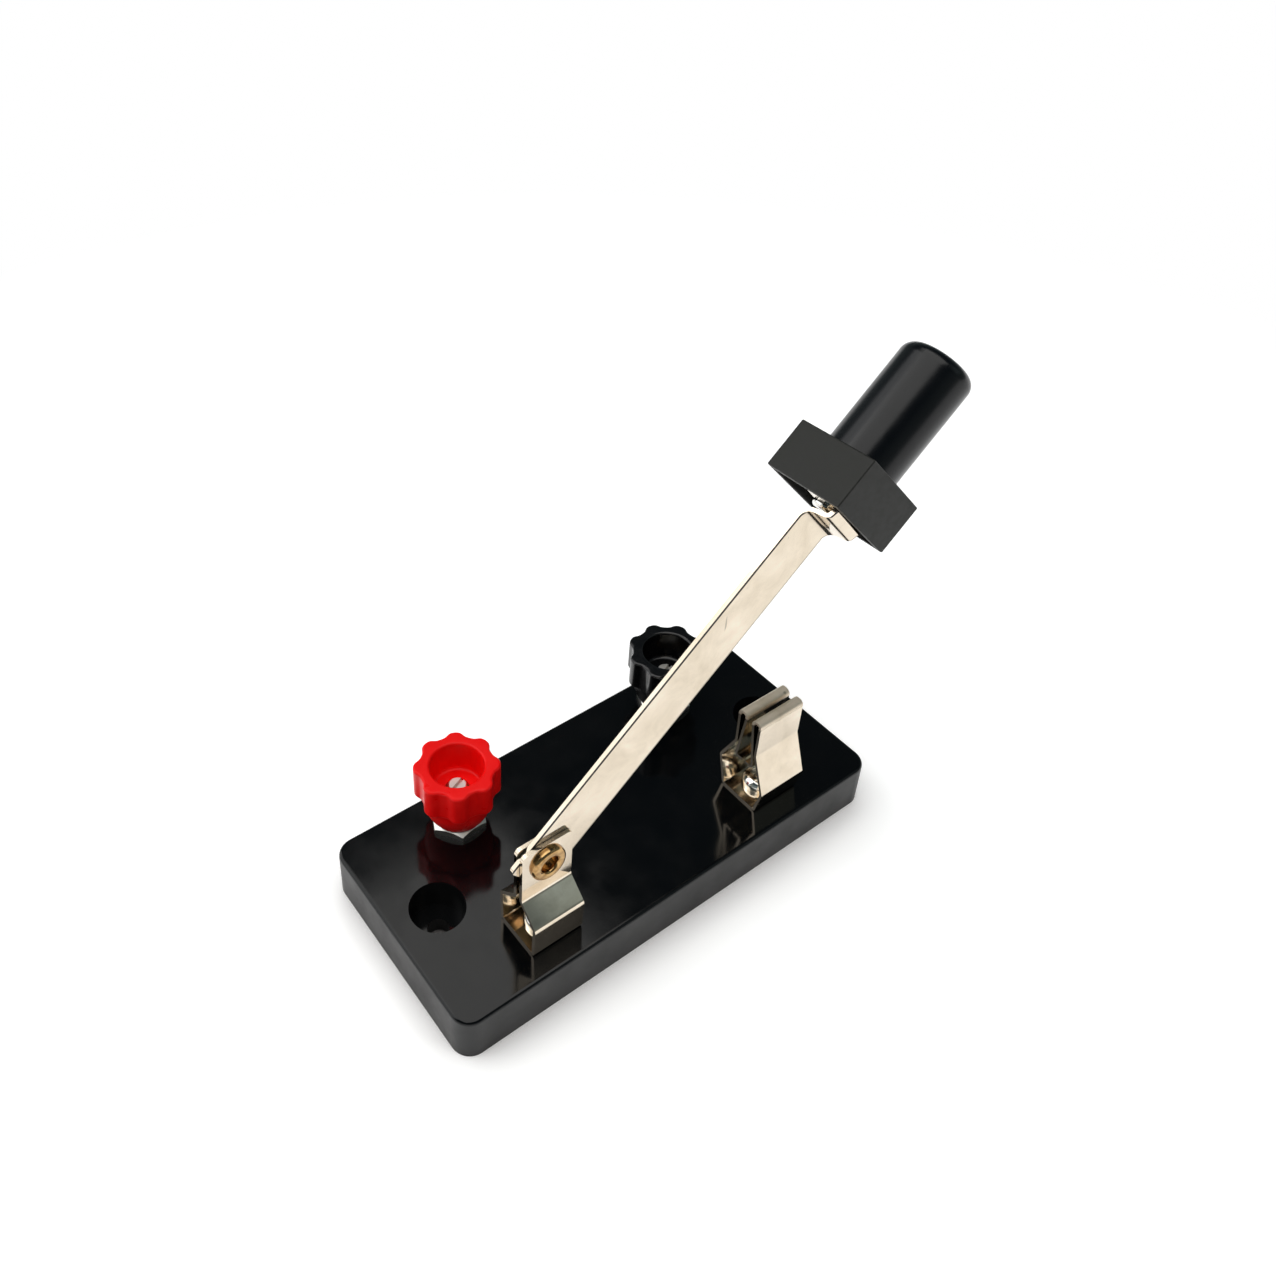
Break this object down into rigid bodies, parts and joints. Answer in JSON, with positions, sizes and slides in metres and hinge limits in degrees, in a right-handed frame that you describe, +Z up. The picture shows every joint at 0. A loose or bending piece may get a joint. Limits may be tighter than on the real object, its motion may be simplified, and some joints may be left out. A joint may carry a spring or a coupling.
{
  "type": "knife blade switch",
  "caption": "Single-pole knife blade switch on a moulded base, with a hinged folded blade, contact clip and two screw-down binding posts.",
  "frame": {"origin": "centre of the base's underside, on the plane it rests on", "axes": "+X from the hinge clip to the contact clip, +Y from the clip row to the binding-post row, +Z up"},
  "size_m": [0.1174, 0.0487, 0.1096],
  "materials": {
    "black_moulding": "polished black phenolic moulding",
    "black_handle": "satin black phenolic moulding, polished grip",
    "nickel_plate": "bright warm nickel plating on rolled sheet",
    "nickel_screws": "bright nickel-plated screw metal",
    "zinc_steel": "zinc-plated steel",
    "brass_eyelet": "bare rolled brass, slightly aged",
    "brass_insert": "turned brass",
    "red_knob": "semi-gloss red injection moulding",
    "black_knob": "semi-gloss black injection moulding"
  },
  "bodies": {
    "base_assembly": {"base": "black_moulding", "hinge_clip": "nickel_plate", "contact_clip": "nickel_plate", "hinge_clip_screw": "nickel_screws", "contact_clip_screw": "nickel_screws", "clip_screw_washers": "zinc_steel", "clip_screw_nuts": "zinc_steel", "hinge_link_strip": "nickel_plate", "contact_link_strip": "nickel_plate", "post_washers": "zinc_steel", "post_nuts": "zinc_steel", "pivot_eyelet": "brass_eyelet", "red_post_stud": "nickel_screws", "black_post_stud": "nickel_screws", "red_post_collar": "nickel_screws", "black_post_collar": "nickel_screws"},
    "blade_assembly": {"blade": "nickel_plate", "handle": "black_handle", "handle_screw": "nickel_screws"},
    "red_knob_carrier": {"red_knob_insert": "brass_insert"},
    "red_knob_body": {"red_knob": "red_knob"},
    "black_knob_carrier": {"black_knob_insert": "brass_insert"},
    "black_knob_body": {"black_knob": "black_knob"}
  },
  "joints": [
    {"name": "blade_hinge", "type": "hinge", "parent": "base_assembly", "child": "blade_assembly", "pos_m": [-0.0286, -0.0141, 0.0302], "axis": [0, -1, 0], "range_deg": [-40, 65]},
    {"name": "red_knob_rise", "type": "slide", "parent": "base_assembly", "child": "red_knob_carrier", "axis": [0, 0, 1], "range_m": [0, 0.00281]},
    {"name": "red_knob_turn", "type": "hinge", "parent": "red_knob_carrier", "child": "red_knob_body", "pos_m": [-0.0281, 0.0154, 0.0124], "axis": [0, 0, 1], "range_deg": [0, 1440]},
    {"name": "black_knob_rise", "type": "slide", "parent": "base_assembly", "child": "black_knob_carrier", "axis": [0, 0, 1], "range_m": [0, 0.00281]},
    {"name": "black_knob_turn", "type": "hinge", "parent": "black_knob_carrier", "child": "black_knob_body", "pos_m": [0.0281, 0.0154, 0.0124], "axis": [0, 0, 1], "range_deg": [0, 1440]}
  ],
  "couplings": [
    {"joint": "red_knob_rise", "follows": "red_knob_turn", "m_per_rad": 0.00011141},
    {"joint": "black_knob_rise", "follows": "black_knob_turn", "m_per_rad": 0.00011141}
  ]
}
